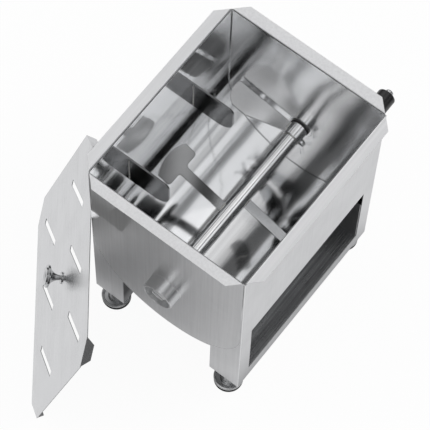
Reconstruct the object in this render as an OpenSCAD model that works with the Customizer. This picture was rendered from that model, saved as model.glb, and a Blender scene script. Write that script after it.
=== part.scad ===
// Manual meat mixer: a sheet-steel tank with a round bottom, four paddles on one shaft
// that a crank turns, four levelling feet, and a loose lid that leans on one corner.
// The origin is on the table under the middle of the tank. X runs to the right along
// the front wall, Y runs to the rear along the shaft, and Z is up.

/* [Tank] */
// Inside width of the tank, from side to side
tank_w = 250; // [230:1:290]
// Inside depth of the tank, from front wall to rear wall
tank_d = 300; // [285:1:360]
// Height of the rim above the table
rim_z = 425; // [405:1:480]
// Height of the shaft above the table
shaft_z = 225; // [215:1:240]
// Thickness of the sheet steel
sheet_t = 1; // [0.8:0.1:1.5]
// Width of the rim flange, from the inner face of the wall
flange_w = 17.5; // [10:0.5:24]
// Radius of the bend between a wall and its flange
rim_bend_r = 3; // [2.5:0.5:5]
// Rounding of the upright outer corners
edge_r = 0.8; // [0.4:0.1:1]

/* [Legs and windows] */
// Height of the lower edges of the walls above the table
leg_z = 38; // [36:1:50]
// Width of each leg, seen from the front
leg_w = 50; // [46:1:60]
// Depth of each leg, seen from the side
leg_depth = 25; // [22:1:28]
// Width of the inner side of a leg at its pointed top
leg_point = 8; // [4:1:14]
// How far an end wall reaches past the hopper, round its lower edge
arch_margin = 1.5; // [1:0.5:5]
// Thickness of the plate that closes a leg and takes the foot
foot_plate_t = 2; // [1.5:0.5:4]
// Height of the upper edge of the side windows
window_top_z = 213; // [180:1:214]
// Height of the lower edge of the side windows
window_low_z = 66; // [60:1:90]
// Width of the upright left at each end of a window
window_post = 23; // [15:1:40]
// Depth of the inward fold along the foot of a side rail
rail_fold = 10; // [6:1:16]
// Depth of the turned-down edges of the base shelf
shelf_lip = 12; // [6:1:18]

/* [Baffles] */
// Distance of each baffle from the middle of the tank
baffle_y = 70; // [60:1:80]
// How far a baffle reaches in from the side
baffle_reach = 67; // [40:1:70]
// Height of the top edge of the baffles
baffle_top_z = 329; // [310:1:345]
// Height of each baffle plate
baffle_h = 66; // [50:1:70]
// Thickness of the baffle plates
baffle_t = 2.5; // [1.5:0.1:4]
// Radius of the lower free corner of a baffle
baffle_low_r = 27; // [10:1:30]
// Radius of the upper free corner of a baffle
baffle_top_r = 9; // [2:1:15]

/* [Hubs] */
// Outer radius of the front hub
hub_r = 24; // [22:0.5:28]
// How far the front hub stands out of the front wall
hub_len = 20.5; // [16:0.5:28]
// Wall thickness of the front hub at its mouth
hub_wall = 3; // [2:0.5:5]
// Depth of the recess in the mouth of the front hub
hub_recess = 10; // [9:0.5:12]
// Outer radius of both bushes
bush_r = 15; // [14:0.5:17]
// Thickness of the bush flange inside the tank
bush_flange_t = 2.5; // [1.5:0.5:3.5]
// Width of the bush flange round the bush
bush_flange_w = 4; // [2:0.5:6]
// Outer radius of the rear hub
rear_hub_r = 19; // [18:0.5:24]
// How far the rear hub stands out of the rear wall
rear_hub_len = 16; // [10:0.5:24]
// Thickness of the sealing ring on the rear wall
seal_t = 2.8; // [1.5:0.1:3.5]

/* [Shaft] */
// Outer radius of the paddle shaft
shaft_r = 11; // [9:0.5:12]
// Wall thickness of the paddle shaft
shaft_wall = 2.5; // [1.5:0.5:3]
// How far the drive end lies inside the mouth of the front hub
drive_inset = 3; // [1:0.5:4]
// Width of the slot in the drive end
drive_slot_w = 5; // [3:0.5:8]
// Depth of the slot in the drive end
drive_slot_d = 3; // [1:0.5:3.5]
// Thickness of the drive end's head, in front of the tube
drive_head_t = 4; // [3.5:0.5:4]
// Length of the drive end's plug, inside the tube
drive_plug_len = 20; // [10:1:40]
// Thickness of the ring clip in front of the bush
clip_t = 1.5; // [1:0.1:2]
// Depth of the groove for the ring clip
clip_groove = 0.8; // [0.5:0.1:1.2]
// Width of the ring clip
clip_w = 3.8; // [3:0.1:5]
// Outer radius of the coupling sleeve
sleeve_r = 13.5; // [12.5:0.5:16]
// Length of the coupling sleeve
sleeve_len = 20; // [18:1:30]
// Radial gap of a shaft in its bush
run_gap = 0.05; // [0.02:0.01:0.1]
// Gap between faces that turn past each other
face_gap = 0.3; // [0.2:0.05:0.5]

/* [Paddles] */
// Thickness of the paddle plates
paddle_t = 3; // [2:0.5:5]
// Width of a paddle arm
arm_w = 14; // [10:0.5:18]
// Length of a paddle head along the shaft
head_len = 60; // [40:1:62]
// Depth of a paddle head, measured along a radius
head_depth = 30; // [20:1:40]
// Gap between the paddle heads and the hopper
head_gap = 10; // [3:1:20]
// Radius of the curved outer edge of a head
head_edge_r = 54; // [40:1:80]
// Radius of the fillets between an arm and its head
head_fillet_r = 5; // [2:1:8]
// Distance of each head paddle from the middle of the tank
paddle_y = 14; // [8:0.5:18]
// Angle of the left head paddle above the horizontal
paddle_rise = 23; // [0:1:60]
// Angle of the end blade above the horizontal
wiper_rise = 12; // [0:1:60]
// Gap between an end blade and the wall it sweeps
wiper_gap = 4; // [3.5:0.5:8]
// Gap between the tip of an end blade and the hopper
wiper_tip_gap = 18; // [6:1:30]
// Width of an end blade at its root
wiper_root_w = 15; // [10:0.5:18]
// Width of an end blade at its outer end
wiper_head_w = 35; // [25:0.5:40]
// Distance of the bend in the edge of an end blade from the shaft axis
wiper_knee_r = 70; // [50:1:78]
// Radius of the curved outer end of an end blade
wiper_curve_r = 26; // [24:0.5:30]
// Distance of the middle of that curve from the straight back edge
wiper_curve_y = 11; // [9:0.5:14]

/* [Wing screw] */
// Radius of the wing screw's thread
screw_r = 3; // [2:0.5:4]
// Distance of the wing screw from the free end of the sleeve
screw_y = 8; // [6:0.5:9]
// Angle of the wing screw below the horizontal
screw_drop = 35; // [0:1:80]
// Radius of the boss between the wings
screw_boss_r = 5; // [4:0.5:6]
// Distance of the tips of the wings from the shaft axis
wing_out_r = 30; // [28:0.5:34]
// Half the span of the wings
wing_half = 12; // [10:0.5:12.5]
// Thickness of the wings
wing_t = 2.5; // [1.5:0.5:4]

/* [Crank] */
// Distance of the grip from the shaft axis
crank_r = 150; // [130:1:165]
// Angle of the crank below the horizontal, as it hangs
crank_drop = 77; // [60:1:90]
// Radius of the crank spindle
spindle_r = 8; // [6:0.5:8]
// Radius of the thread at the outer end of the spindle
spindle_thread_r = 5; // [4:0.5:5.5]
// Thickness of the spacer behind the crank arm
spacer_t = 4; // [2:0.5:8]
// Thickness of the crank arm
crank_t = 6; // [4:0.5:8]
// Radius of the crank arm's hub end
crank_hub_r = 16; // [14:0.5:20]
// Radius of the crank arm's grip end
crank_end_r = 12; // [10:0.5:16]
// How far the arm is set out towards the grip
crank_set = 41; // [25:1:50]
// Distance from the shaft axis at which the arm starts to turn out
crank_knee_r = 45; // [35:1:60]
// Distance over which the arm turns out
crank_run = 45; // [35:1:60]
// Thickness of the washers on the crank
washer_t = 1.5; // [1:0.1:2.5]

/* [Grip] */
// Radius of the grip
grip_r = 14.5; // [11:0.5:18]
// Length of the grip
grip_len = 110; // [90:1:130]
// Radius of the grip's rounded ends
grip_round = 4; // [2:0.5:6]
// Radius of the grip bolt's shoulder
bolt_r = 5; // [4:0.5:6]
// Step from the bolt's shoulder to its thread
bolt_step = 1; // [0.5:0.5:1.5]
// Radius of the cap on the end of the grip
cap_r = 7; // [6.5:0.5:9]
// Height of the cap on the end of the grip
cap_h = 7; // [5:0.5:10]

/* [Feet] */
// Distance of a foot's axis from the inner side of the tank
foot_in_x = 23.5; // [21:0.5:26]
// Distance of a foot's axis from the inner face of the end wall
foot_in_y = 12.5; // [10:0.5:14]
// Outer radius of a foot
foot_r = 21.5; // [18:0.5:24]
// Thickness of the rubber sole
sole_h = 4; // [3:0.5:6]
// Height of the lip of the foot's cup above the table
cup_h = 12; // [10:0.5:15]
// Thickness of the cup's sheet
cup_t = 1.5; // [1:0.1:2]
// Radius of the cup's rolled lip
cup_lip_r = 2; // [1.2:0.1:2.5]
// Radius of the raised middle of the cup
cup_boss_r = 12; // [10:0.5:14]
// Height of the raised middle of the cup
cup_boss_h = 4; // [2:0.5:5]
// Radius of the foot's threaded stud
stud_r = 4; // [3:0.5:5]
// Height of the top of the stud above the table
stud_top_z = 58; // [54:1:59]
// Gap round the stud in the foot plate
stud_gap = 0.4; // [0.2:0.1:1]
// Width across the flats of the foot's nuts
nut_af = 13; // [12:0.5:14]
// Height of the foot's nuts
nut_h = 6.5; // [5:0.5:8]

/* [Lid] */
// How far the lid reaches past the rim flange
lid_over = 1; // [1:0.5:6]
// Gap between a lid tab and the cut corner of the rim
tab_gap = 3.9; // [2:0.1:6]
// Depth of the tabs folded down at the cut corners
tab_h = 11; // [6:0.5:15]
// Slope of the ends of the tabs
tab_slope = 0.9; // [0.5:0.1:1.2]
// Angle by which the lid leans from the upright
lid_lean = 17.7; // [12:0.1:25]
// Direction that the leaning lid faces, from the left side of the tank to its front
lid_turn = 37.4; // [25:0.1:60]
// How far the middle of the lid lies forward of the corner that it leans on
lid_shift = 32; // [0:1:60]
// Length of a lid slot
slot_len = 81; // [60:1:88]
// Width of a lid slot
slot_w = 9; // [5:0.5:12]
// Distance between the two rows of slots
slot_rows = 144; // [124:1:150]
// Distance between slots in one row
slot_pitch = 97.5; // [88:0.5:100]
// Number of slots in each row
slot_count = 3; // [2:1:3]

/* [Knob] */
// Radius of the knob's head
knob_r = 16; // [12:0.5:20]
// Height of the knob
knob_h = 26; // [22:0.5:34]
// Height of the dome on the knob's head
knob_dome_h = 2; // [1:0.5:3]
// Radius of the knob's neck
knob_neck_r = 3.6; // [3.2:0.1:6]
// Radius of the collar at the foot of the knob
knob_collar_r = 8.5; // [6:0.5:10]
// Thickness of the collar at the foot of the knob
knob_collar_t = 1.6; // [1:0.1:3]
// Radius of the screw that holds the knob
knob_screw_r = 2.5; // [1.5:0.5:2.5]

/* [Hidden] */
$fn = 72;
eps = 0.01;
FEET = [["fl", -1, -1], ["fr", 1, -1], ["rl", -1, 1], ["rr", 1, 1]];
FOOT_PARTS = ["foot_sole_", "foot_cup_", "foot_stud_", "foot_nut_"];

steel = [0.78, 0.79, 0.8];
bright_steel = [0.86, 0.87, 0.88];
shade_steel = [0.55, 0.56, 0.58];
polymer = [0.9, 0.9, 0.87];
black = [0.08, 0.08, 0.08];

half_w = tank_w / 2;
half_d = tank_d / 2;
skin_x = half_w + sheet_t;
out_x = skin_x + sheet_t;
out_y = half_d + sheet_t;
wall_top = rim_z - rim_bend_r;
arch_r = skin_x + arch_margin;
leg_x = out_x - leg_w;
leg_arch_z = shaft_z - sqrt(arch_r * arch_r - leg_x * leg_x);
leg_point_x = skin_x - leg_point;
leg_point_z = shaft_z - sqrt(arch_r * arch_r - leg_point_x * leg_point_x);

hub_mouth = -out_y - hub_len;
spigot_r = bush_r + bush_flange_w;
drive_front = hub_mouth + drive_inset;
shaft_front = drive_front + drive_head_t;
shaft_bore = shaft_r - shaft_wall;
clip_front = hub_mouth + hub_recess - face_gap - clip_t;
sleeve_end = half_d - seal_t - face_gap;
sleeve_start = sleeve_end - sleeve_len;
screw_place = sleeve_start + screw_y;
head_out_r = half_w - head_gap;
head_in_r = head_out_r - head_depth;
wiper_out_r = half_w - wiper_tip_gap;

rear_hub_end = out_y + rear_hub_len;
spacer_start = rear_hub_end + face_gap;
spacer_wall = 4;
arm_face = spacer_start + spacer_t;
arm_out = arm_face + crank_t;
crank_washer_r = 11;
crank_nut_h = 17;
crank_nut_r = 9.5;
grip_plate = arm_out + crank_set;
grip_start = grip_plate + washer_t + face_gap;
grip_end = grip_start + grip_len;
bolt_nut_h = 6;
bolt_nut_r = 7.5;

foot_x = half_w - foot_in_x;
foot_y = half_d - foot_in_y;
hex_r = nut_af / 2 / cos(30);

lid_w = tank_w + 2 * (flange_w + lid_over);
lid_d = tank_d + 2 * (flange_w + lid_over);
lid_cut = 2 * (flange_w + lid_over) - tab_gap * sqrt(2);
lid_reach = (lid_w + lid_d - 2 * lid_cut) / 2;
corner_x = out_x - edge_r;
corner_y = out_y - edge_r;
lid_corner = corner_x * cos(lid_turn) + corner_y * sin(lid_turn) + edge_r + face_gap;
lid_foot = lid_corner + lid_w * sin(lid_lean);
lid_side = corner_x * sin(lid_turn) - corner_y * cos(lid_turn) - lid_shift;

// Turns a wall drawn with its inner face at y = 0 and its outside towards +Y
module facing(turn, reach) {
    rotate([0, 0, turn]) translate([0, reach, 0]) children();
}

// Stands a drawing in X and Z up as a plate from y = 0 to y = t
module upright(t) {
    translate([0, t, 0]) rotate([90, 0, 0]) linear_extrude(t) children();
}

// Puts a turned part on the shaft axis, with its own Z running to the rear
module on_shaft(y) {
    translate([0, y, shaft_z]) rotate([-90, 0, 0]) children();
}

// A round bar or tube on the shaft axis between two places
module shaft_ring(from, to, r, bore = 0) {
    on_shaft(from) difference() {
        cylinder(h = to - from, r = r);
        if (bore > 0) translate([0, 0, -1]) cylinder(h = to - from + 2, r = bore);
    }
}

// Tilts a plate drawn in radius and depth to its angle round the shaft
module radial(angle, t) {
    translate([0, 0, shaft_z]) rotate([0, -angle, 0]) linear_extrude(t, center = true) children();
}

// The waste of a rounded corner, for a corner at the origin that fills the first quadrant
module corner_waste(r) {
    difference() {
        translate([-1, -1]) square(r + 1);
        translate([r, r]) circle(r = r);
    }
}

// A fillet that fills the corner of the first quadrant
module fillet(r) {
    difference() {
        translate([-eps, -eps]) square(r + eps);
        translate([r, r]) circle(r = r);
    }
}

// The bend and flange along the top of a wall, its ends cut at 45 degrees
module rim(length) {
    intersection() {
        translate([-length / 2, 0, 0]) rotate([90, 0, 90]) linear_extrude(length) {
            intersection() {
                translate([rim_bend_r, wall_top]) difference() {
                    circle(r = rim_bend_r);
                    circle(r = rim_bend_r - sheet_t);
                }
                translate([0, wall_top]) square(rim_bend_r);
            }
            translate([rim_bend_r - eps, rim_z - sheet_t]) square([flange_w - rim_bend_r + eps, sheet_t]);
        }
        linear_extrude(rim_z + 1) polygon([
            [-length / 2, 0],
            [length / 2, 0],
            [length / 2 - flange_w, flange_w],
            [-length / 2 + flange_w, flange_w]
        ]);
    }
}

// Sheet bent to a U: both inner sides of the tank, the round bottom and two rim flanges
module hopper() {
    color(bright_steel) {
        translate([0, half_d, 0]) rotate([90, 0, 0]) linear_extrude(tank_d) {
            difference() {
                union() {
                    translate([0, shaft_z]) circle(r = skin_x);
                    translate([-skin_x, shaft_z]) square([2 * skin_x, wall_top - shaft_z]);
                }
                translate([0, shaft_z]) circle(r = half_w);
                translate([-half_w, shaft_z]) square([2 * half_w, rim_z]);
            }
        }
        for (turn = [90, -90]) facing(turn, half_w) rim(tank_d);
    }
}

// Outline of an end wall: straight above, with a round belly between two legs
module end_outline() {
    difference() {
        translate([-out_x, leg_z]) square([2 * out_x, wall_top - leg_z]);
        difference() {
            translate([-leg_x, leg_z - 1]) square([2 * leg_x, shaft_z - leg_z + 1]);
            translate([0, shaft_z]) circle(r = arch_r);
        }
    }
}

// The two inner sides of one leg and the plate across its foot
module leg_box() {
    translate([leg_x, -leg_depth, leg_z]) cube([sheet_t, leg_depth + eps, leg_arch_z - sheet_t - leg_z]);
    translate([0, -leg_depth, 0]) upright(sheet_t) difference() {
        translate([leg_x, leg_z]) square([skin_x - leg_x, leg_point_z - leg_z]);
        translate([0, shaft_z]) circle(r = arch_r);
    }
    difference() {
        translate([leg_x, -leg_depth, leg_z]) cube([skin_x - leg_x, leg_depth + eps, foot_plate_t]);
        translate([foot_x, -foot_in_y, leg_z - 1]) cylinder(h = foot_plate_t + 2, r = stud_r + stud_gap);
    }
}

// The front or rear wall, with its hub hole, its legs and its flange
module end_wall(hole_r) {
    difference() {
        union() {
            upright(sheet_t) end_outline();
            for (side = [0, 1]) mirror([side, 0, 0]) leg_box();
        }
        translate([0, -1, shaft_z]) rotate([-90, 0, 0]) cylinder(h = sheet_t + 2, r = hole_r);
        for (side = [0, 1]) {
            mirror([side, 0, 0]) translate([out_x, sheet_t, leg_z - 1]) mirror([1, 0, 0])
                mirror([0, 1, 0]) linear_extrude(rim_z) corner_waste(min(edge_r, sheet_t));
        }
    }
    rim(tank_w);
}

module front_wall() {
    color(steel) facing(180, half_d) end_wall(spigot_r);
}

module rear_wall() {
    color(steel) facing(0, half_d) end_wall(bush_r);
}

// Side skin outside the hopper sheet, with its window; the rail closes it below
module side_skin() {
    post = half_d - window_post;
    upright(sheet_t) polygon([
        [-half_d, leg_z],
        [-half_d, wall_top],
        [half_d, wall_top],
        [half_d, leg_z],
        [post, window_low_z],
        [post, window_top_z],
        [-post, window_top_z],
        [-post, window_low_z]
    ]);
}

// Rail under a window, mitred to the two uprights and folded inward at its foot
module side_rail() {
    post = half_d - window_post;
    upright(sheet_t) polygon([
        [-half_d, leg_z],
        [half_d, leg_z],
        [post, window_low_z],
        [-post, window_low_z]
    ]);
    translate([leg_depth - half_d, -rail_fold, leg_z])
        cube([tank_d - 2 * leg_depth, rail_fold + eps, sheet_t]);
}

module left_wall() {
    color(steel) facing(90, skin_x) side_skin();
}

module right_wall() {
    color(steel) facing(-90, skin_x) side_skin();
}

module left_rail() {
    color(steel) facing(90, skin_x) side_rail();
}

module right_rail() {
    color(steel) facing(-90, skin_x) side_rail();
}

// Shelf between the legs, with its front and rear edges turned down
module base_shelf() {
    shelf_d = tank_d - 2 * leg_depth;
    color(shade_steel) {
        translate([-skin_x, -shelf_d / 2, window_low_z - sheet_t]) cube([2 * skin_x, shelf_d, sheet_t]);
        for (side = [0, 1]) {
            mirror([0, side, 0]) translate([-skin_x, shelf_d / 2 - sheet_t, window_low_z - shelf_lip])
                cube([2 * skin_x, sheet_t, shelf_lip - sheet_t + eps]);
        }
    }
}

// Plate on the left side that keeps the meat from turning with the paddles
module baffle(y) {
    free_x = -half_w + baffle_reach;
    translate([0, y - baffle_t / 2, 0]) upright(baffle_t) difference() {
        translate([-half_w, baffle_top_z - baffle_h]) square([baffle_reach, baffle_h]);
        translate([free_x, baffle_top_z - baffle_h]) mirror([1, 0]) corner_waste(baffle_low_r);
        translate([free_x, baffle_top_z]) mirror([1, 0]) mirror([0, 1]) corner_waste(baffle_top_r);
    }
}

module baffle_front() {
    color(bright_steel) baffle(-baffle_y);
}

module baffle_rear() {
    color(bright_steel) baffle(baffle_y);
}

// Hexagonal nut on its own axis
module hex_nut(h, r, bore) {
    difference() {
        cylinder(h = h, r = r, $fn = 6);
        translate([0, 0, -1]) cylinder(h = h + 2, r = bore);
    }
}

// Weld nuts inside the legs that take the studs of the feet
module leg_nuts() {
    color(shade_steel) for (foot = FEET) {
        translate([foot[1] * foot_x, foot[2] * foot_y, leg_z + foot_plate_t])
            hex_nut(nut_h, hex_r, stud_r + run_gap);
    }
}

// Hub on the front wall: a short open tube with a step for the bush
module front_hub() {
    color(bright_steel) on_shaft(hub_mouth) rotate_extrude() difference() {
        union() {
            translate([bush_r, 0]) square([hub_r - bush_r, hub_len]);
            translate([bush_r, hub_len - eps]) square([spigot_r - bush_r, sheet_t + eps]);
        }
        translate([0, -1]) square([hub_r - hub_wall, hub_recess + 1]);
        translate([hub_r, 0]) mirror([1, 0]) corner_waste(1);
    }
}

module front_bush() {
    color(polymer) {
        shaft_ring(hub_mouth + hub_recess, -half_d, bush_r, shaft_r + run_gap);
        shaft_ring(-half_d, -half_d + bush_flange_t, spigot_r, shaft_r + run_gap);
    }
}

// Hub on the rear wall, with a chamfered outer end
module rear_hub() {
    chamfer = 1.5;
    color(bright_steel) on_shaft(out_y) rotate_extrude() polygon([
        [bush_r, 0],
        [rear_hub_r, 0],
        [rear_hub_r, rear_hub_len - chamfer],
        [rear_hub_r - chamfer, rear_hub_len],
        [bush_r, rear_hub_len]
    ]);
}

module rear_bush() {
    color(polymer) shaft_ring(half_d, rear_hub_end, bush_r, spindle_r + run_gap);
}

// Dark ring that closes the gap between the sleeve and the rear wall
module rear_seal() {
    color(black) shaft_ring(half_d - seal_t, half_d, sleeve_r + 1, spindle_r + run_gap);
}

// Tube that carries the paddles, with a groove for its clip
module paddle_shaft() {
    color(bright_steel) on_shaft(shaft_front) rotate_extrude() difference() {
        translate([shaft_bore, 0]) square([shaft_wall, sleeve_start - shaft_front]);
        translate([shaft_r - clip_groove, clip_front - shaft_front]) square([2, clip_t]);
    }
}

// Plug in the front end of the shaft, slotted for a motor drive
module drive_end() {
    color(bright_steel) difference() {
        on_shaft(drive_front) rotate_extrude() polygon([
            [0, 0],
            [shaft_r - 1, 0],
            [shaft_r, 1],
            [shaft_r, drive_head_t],
            [shaft_bore, drive_head_t],
            [shaft_bore, drive_head_t + drive_plug_len],
            [0, drive_head_t + drive_plug_len]
        ]);
        translate([0, drive_front + drive_slot_d / 2, shaft_z]) rotate([0, paddle_rise, 0])
            cube([2 * shaft_r + 2, drive_slot_d + eps, drive_slot_w], center = true);
    }
}

// Open ring that snaps into the groove in front of the bush
module shaft_clip() {
    color(shade_steel) difference() {
        shaft_ring(clip_front, clip_front + clip_t, shaft_r - clip_groove + clip_w, shaft_r - clip_groove);
        translate([-shaft_r / 2, clip_front - 1, shaft_z - 2 * shaft_r])
            cube([shaft_r, clip_t + 2, 2 * shaft_r]);
    }
}

// Puts the wing screw's axis, its own Z, radially through the sleeve
module wing_place() {
    translate([0, screw_place, shaft_z]) rotate([0, 90 + screw_drop, 0]) children();
}

// Sleeve at the rear end of the shaft that takes the crank spindle
module coupling_sleeve() {
    bore = spindle_r + run_gap;
    color(bright_steel) difference() {
        on_shaft(sleeve_start) rotate_extrude() polygon([
            [bore, 0],
            [sleeve_r - 1, 0],
            [sleeve_r, 1],
            [sleeve_r, sleeve_len],
            [bore, sleeve_len]
        ]);
        wing_place() translate([0, 0, spindle_r - 1]) cylinder(h = sleeve_r, r = screw_r + run_gap);
    }
}

// Outline of a head paddle in radius and depth: an arm with a head across its end
module head_outline(y) {
    difference() {
        union() {
            translate([0, y - arm_w / 2]) square([head_in_r + 1, arm_w]);
            intersection() {
                translate([head_in_r, y - head_len / 2]) square([head_depth, head_len]);
                translate([head_out_r - head_edge_r, y]) circle(r = head_edge_r);
            }
            for (side = [0, 1]) {
                translate([head_in_r, y]) mirror([0, side]) translate([0, arm_w / 2])
                    mirror([1, 0]) fillet(head_fillet_r);
            }
        }
        for (side = [0, 1]) {
            translate([head_in_r, y]) mirror([0, side]) translate([0, head_len / 2])
                mirror([0, 1]) corner_waste(head_fillet_r);
        }
    }
}

// Outline of an end blade for the rear wall in radius and depth
module wiper_outline() {
    back = half_d - wiper_gap;
    root = back - wiper_root_w;
    front = back - wiper_head_w;
    curve_x = wiper_out_r - wiper_curve_r;
    intersection() {
        polygon([
            [0, root],
            [0, back],
            [wiper_out_r, back],
            [wiper_out_r, front],
            [wiper_knee_r, front],
            [shaft_r, root]
        ]);
        union() {
            translate([0, front - 1]) square([curve_x, wiper_head_w + 2]);
            translate([curve_x, back - wiper_curve_y]) circle(r = wiper_curve_r);
        }
    }
}

// A paddle plate, cut to the round of the part that it is welded to
module welded(root_r) {
    difference() {
        children();
        shaft_ring(-half_d, half_d, root_r);
    }
}

module paddle_left() {
    color(bright_steel) welded(shaft_r) radial(180 - paddle_rise, paddle_t) head_outline(-paddle_y);
}

module paddle_right() {
    color(bright_steel) welded(shaft_r) radial(-paddle_rise, paddle_t) head_outline(paddle_y);
}

module wiper_rear() {
    color(bright_steel) welded(sleeve_r) radial(180 - wiper_rise, paddle_t) wiper_outline();
}

module wiper_front() {
    color(bright_steel) welded(shaft_r)
        mirror([0, 1, 0]) radial(-wiper_rise, paddle_t) wiper_outline();
}

// One slanting wing in height and span, with a squared tip
module wing_outline() {
    root = sleeve_r + 2;
    tip_w = 5.5;
    difference() {
        polygon([
            [root, 1],
            [root, 4],
            [root + 4, 5],
            [wing_out_r - 3, wing_half + 0.5],
            [wing_out_r + 0.5, wing_half - tip_w + 2],
            [root + 6, 1]
        ]);
        translate([wing_out_r, 0]) square(2 * wing_half);
        translate([0, wing_half]) square(2 * wing_out_r);
    }
}

// Screw with two wings, its tip just short of the spindle it clamps
module wing_screw() {
    base = sleeve_r + face_gap;
    color(bright_steel) wing_place() {
        translate([0, 0, spindle_r + face_gap]) cylinder(h = sleeve_r - spindle_r + 5, r = screw_r);
        translate([0, 0, base]) cylinder(h = 2, r = screw_boss_r);
        translate([0, 0, base + 2 - eps]) cylinder(h = 5.5, r1 = screw_boss_r, r2 = screw_boss_r - 1.5);
        for (side = [0, 180]) {
            rotate([0, 0, side]) translate([wing_t / 2, 0, 0]) rotate([0, -90, 0])
                linear_extrude(wing_t) wing_outline();
        }
    }
}

// Spindle of the crank, from inside the sleeve to its threaded outer end
module crank_spindle() {
    color(bright_steel) {
        shaft_ring(sleeve_start + 1, arm_out, spindle_r);
        shaft_ring(arm_out - eps, arm_out + washer_t + crank_nut_h / 2, spindle_thread_r);
    }
}

module crank_spacer() {
    color(bright_steel) shaft_ring(spacer_start, arm_face, spindle_r + spacer_wall, spindle_r);
}

// Puts a part drawn with radius along X and depth along Y at the crank's angle
module crank_place() {
    translate([0, 0, shaft_z]) rotate([0, crank_drop, 0]) children();
}

// Flat bar set out towards the grip, with a hole at each rounded end
module crank_arm() {
    fold = crank_t * tan(atan(crank_set / crank_run) / 2);
    knee = crank_knee_r + crank_run;
    tip = crank_r + crank_end_r;
    color(bright_steel) crank_place() difference() {
        intersection() {
            translate([0, 0, -crank_hub_r - 1]) linear_extrude(2 * crank_hub_r + 2) polygon([
                [-crank_hub_r, arm_face],
                [crank_knee_r, arm_face],
                [knee, arm_face + crank_set],
                [tip, arm_face + crank_set],
                [tip, arm_out + crank_set],
                [knee - fold, arm_out + crank_set],
                [crank_knee_r - fold, arm_out],
                [-crank_hub_r, arm_out]
            ]);
            translate([0, grip_plate + 1, 0]) rotate([90, 0, 0]) linear_extrude(grip_plate - arm_face + 2) {
                circle(r = crank_hub_r);
                translate([crank_r, 0]) circle(r = crank_end_r);
                polygon([
                    [0, -crank_hub_r],
                    [crank_r, -crank_end_r],
                    [crank_r, crank_end_r],
                    [0, crank_hub_r]
                ]);
            }
        }
        translate([0, arm_face - 1, 0]) rotate([-90, 0, 0]) cylinder(h = crank_t + 2, r = spindle_r);
        translate([crank_r, grip_plate - crank_t - 1, 0]) rotate([-90, 0, 0])
            cylinder(h = crank_t + 2, r = bolt_r - bolt_step);
    }
}

module crank_washer() {
    color(bright_steel) shaft_ring(arm_out, arm_out + washer_t, crank_washer_r, spindle_thread_r);
}

// A nut with a domed end, its own Z pointing away from the arm
module cap_nut(h, r, bore) {
    hex_h = h * 0.6;
    difference() {
        union() {
            cylinder(h = hex_h, r = r, $fn = 6);
            intersection() {
                translate([0, 0, h - r]) sphere(r = r * cos(30));
                translate([-r, -r, hex_h - eps]) cube([2 * r, 2 * r, h]);
            }
        }
        translate([0, 0, -1]) cylinder(h = hex_h, r = bore);
    }
}

module crank_nut() {
    color(bright_steel) on_shaft(arm_out + washer_t) cap_nut(crank_nut_h, crank_nut_r, spindle_thread_r);
}

// Puts a turned part on the grip's axis, with its own Z pointing away from the arm
module on_grip(y) {
    crank_place() translate([crank_r, y, 0]) rotate([-90, 0, 0]) children();
}

// Shoulder bolt that the grip turns on, with a nut behind the arm
module grip_bolt() {
    thread_r = bolt_r - bolt_step;
    tail = crank_t + bolt_nut_h + 2;
    color(bright_steel) {
        on_grip(grip_plate - tail) cylinder(h = tail + eps, r = thread_r);
        on_grip(grip_plate) cylinder(h = grip_end + face_gap - grip_plate, r = bolt_r);
        on_grip(grip_plate - crank_t - bolt_nut_h) hex_nut(bolt_nut_h, bolt_nut_r, thread_r);
    }
}

module grip_washer() {
    color(bright_steel) on_grip(grip_plate) difference() {
        cylinder(h = washer_t, r = 2 * bolt_r);
        translate([0, 0, -1]) cylinder(h = washer_t + 2, r = bolt_r);
    }
}

// Smooth round grip with rounded ends and a bore for the bolt
module grip() {
    bore = bolt_r + run_gap;
    color(black) on_grip(grip_start) rotate_extrude() difference() {
        translate([bore, 0]) square([grip_r - bore, grip_len]);
        translate([grip_r, 0]) mirror([1, 0]) corner_waste(grip_round);
        translate([grip_r, grip_len]) mirror([1, 0]) mirror([0, 1]) corner_waste(grip_round);
    }
}

// Domed head of the bolt at the free end of the grip
module grip_cap() {
    color(bright_steel) on_grip(grip_end + face_gap) rotate_extrude() difference() {
        square([cap_r, cap_h]);
        translate([cap_r, cap_h]) mirror([1, 0]) mirror([0, 1]) corner_waste(cap_r * 0.6);
    }
}

// Puts a foot's part under its leg
module at_foot(foot) {
    translate([foot[1] * foot_x, foot[2] * foot_y, 0]) children();
}

// Rubber sole, chamfered where it meets the table
module foot_sole() {
    edge = foot_r - 0.5;
    color(black) rotate_extrude() polygon([
        [0, 0],
        [edge - 1.2, 0],
        [edge, 1.2],
        [edge, sole_h],
        [0, sole_h]
    ]);
}

// Pressed cup with a rolled lip and a raised middle
module foot_cup() {
    lip_x = foot_r - cup_lip_r;
    floor_z = sole_h + cup_t;
    color(bright_steel) rotate_extrude() {
        translate([stud_r, sole_h]) square([lip_x - stud_r, cup_t]);
        translate([lip_x - cup_t / 2, sole_h]) square([cup_t, cup_h - cup_lip_r - sole_h]);
        translate([lip_x, cup_h - cup_lip_r]) circle(r = cup_lip_r);
        polygon([
            [stud_r, floor_z - eps],
            [cup_boss_r, floor_z - eps],
            [cup_boss_r - 2, floor_z + cup_boss_h],
            [stud_r, floor_z + cup_boss_h]
        ]);
    }
}

// Stud with its fixed hexagon just above the cup
module foot_stud() {
    color(bright_steel) {
        translate([0, 0, sole_h]) cylinder(h = stud_top_z - sole_h, r = stud_r);
        translate([0, 0, sole_h + cup_t + cup_boss_h]) hex_nut(nut_h, hex_r, stud_r - eps);
    }
}

module foot_nut() {
    color(bright_steel) translate([0, 0, leg_z - face_gap - nut_h]) hex_nut(nut_h, hex_r, stud_r);
}

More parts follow.
